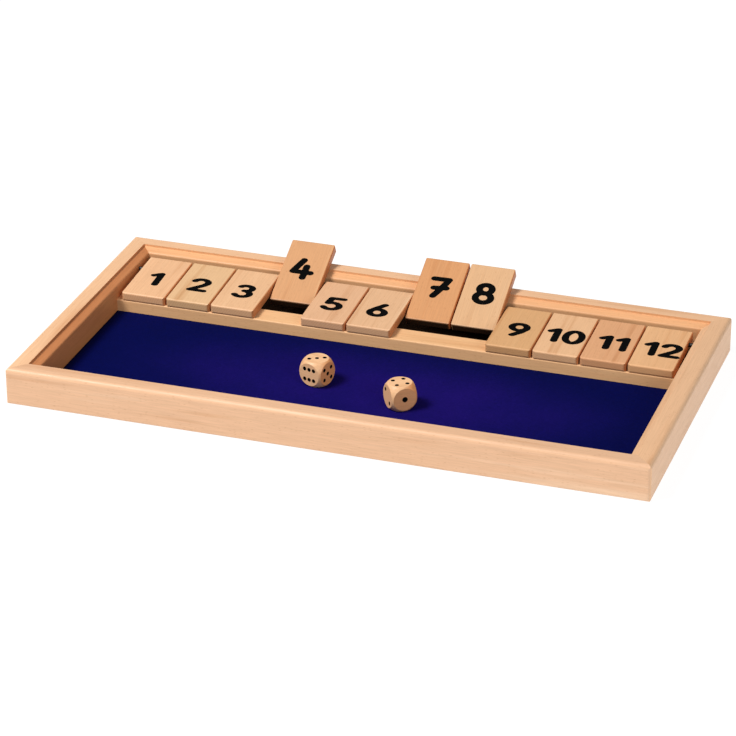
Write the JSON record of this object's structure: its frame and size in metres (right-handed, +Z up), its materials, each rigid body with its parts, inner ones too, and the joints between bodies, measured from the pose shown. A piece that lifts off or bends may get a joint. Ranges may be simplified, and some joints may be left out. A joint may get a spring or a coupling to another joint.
{
  "type": "shut the box game",
  "caption": "Shallow mitred wooden game box with a felt dice tray, a row of number tiles that flip on a hidden steel rod, and loose wooden dice.",
  "frame": {"origin": "middle of the flat underside of the box", "axes": "+X along the row of tiles from 1 to 12, +Y from the front rail to the back rail, +Z up"},
  "size_m": [0.345, 0.1823, 0.0304],
  "materials": {
    "rail_wood": "pale beech, satin lacquer",
    "tile_wood": "pale beech, satin lacquer",
    "bar_wood": "pale beech, satin lacquer",
    "die_wood": "pale smooth wood, waxed",
    "base_hardboard": "dark brown hardboard, smooth pressed face",
    "blue_felt": "deep blue wool felt",
    "rod_steel": "drawn bright steel",
    "pin_steel": "bright steel",
    "black_ink": "printed black, matt"
  },
  "bodies": {
    "box": {"front_rail": "rail_wood", "back_rail": "rail_wood", "left_rail": "rail_wood", "right_rail": "rail_wood", "base_panel": "base_hardboard", "panel_pins": "pin_steel", "felt_mat": "blue_felt", "tile_rest_bar": "bar_wood", "pivot_rod": "rod_steel"},
    "tile_01": {"number_tile_01": "tile_wood"},
    "tile_02": {"number_tile_02": "tile_wood"},
    "tile_03": {"number_tile_03": "tile_wood"},
    "tile_04": {"number_tile_04": "tile_wood"},
    "tile_05": {"number_tile_05": "tile_wood"},
    "tile_06": {"number_tile_06": "tile_wood"},
    "tile_07": {"number_tile_07": "tile_wood"},
    "tile_08": {"number_tile_08": "tile_wood"},
    "tile_09": {"number_tile_09": "tile_wood"},
    "tile_10": {"number_tile_10": "tile_wood"},
    "tile_11": {"number_tile_11": "tile_wood"},
    "tile_12": {"number_tile_12": "tile_wood"},
    "left_die_loose": {"left_die": "die_wood"},
    "right_die_loose": {"right_die": "die_wood"}
  },
  "joints": [
    {"name": "tile_01_flip", "type": "hinge", "parent": "box", "child": "tile_01", "pos_m": [-0.143, 0.06152, 0.01372], "axis": [-1, 0, 0], "range_deg": [0, 157.2]},
    {"name": "tile_02_flip", "type": "hinge", "parent": "box", "child": "tile_02", "pos_m": [-0.117, 0.06152, 0.01372], "axis": [-1, 0, 0], "range_deg": [0, 157.2]},
    {"name": "tile_03_flip", "type": "hinge", "parent": "box", "child": "tile_03", "pos_m": [-0.091, 0.06152, 0.01372], "axis": [-1, 0, 0], "range_deg": [0, 157.2]},
    {"name": "tile_04_flip", "type": "hinge", "parent": "box", "child": "tile_04", "pos_m": [-0.065, 0.06152, 0.01372], "axis": [-1, 0, 0], "range_deg": [-157.2, 0]},
    {"name": "tile_05_flip", "type": "hinge", "parent": "box", "child": "tile_05", "pos_m": [-0.039, 0.06152, 0.01372], "axis": [-1, 0, 0], "range_deg": [0, 157.2]},
    {"name": "tile_06_flip", "type": "hinge", "parent": "box", "child": "tile_06", "pos_m": [-0.013, 0.06152, 0.01372], "axis": [-1, 0, 0], "range_deg": [0, 157.2]},
    {"name": "tile_07_flip", "type": "hinge", "parent": "box", "child": "tile_07", "pos_m": [0.013, 0.06152, 0.01372], "axis": [-1, 0, 0], "range_deg": [-157.2, 0]},
    {"name": "tile_08_flip", "type": "hinge", "parent": "box", "child": "tile_08", "pos_m": [0.039, 0.06152, 0.01372], "axis": [-1, 0, 0], "range_deg": [-157.2, 0]},
    {"name": "tile_09_flip", "type": "hinge", "parent": "box", "child": "tile_09", "pos_m": [0.065, 0.06152, 0.01372], "axis": [-1, 0, 0], "range_deg": [0, 157.2]},
    {"name": "tile_10_flip", "type": "hinge", "parent": "box", "child": "tile_10", "pos_m": [0.091, 0.06152, 0.01372], "axis": [-1, 0, 0], "range_deg": [0, 157.2]},
    {"name": "tile_11_flip", "type": "hinge", "parent": "box", "child": "tile_11", "pos_m": [0.117, 0.06152, 0.01372], "axis": [-1, 0, 0], "range_deg": [0, 157.2]},
    {"name": "tile_12_flip", "type": "hinge", "parent": "box", "child": "tile_12", "pos_m": [0.143, 0.06152, 0.01372], "axis": [-1, 0, 0], "range_deg": [0, 157.2]},
    {"name": "left_die_lift", "type": "slide", "parent": "box", "child": "left_die_loose", "axis": [0, 0, 1], "range_m": [0, 0.1]},
    {"name": "right_die_lift", "type": "slide", "parent": "box", "child": "right_die_loose", "axis": [0, 0, 1], "range_m": [0, 0.1]}
  ]
}
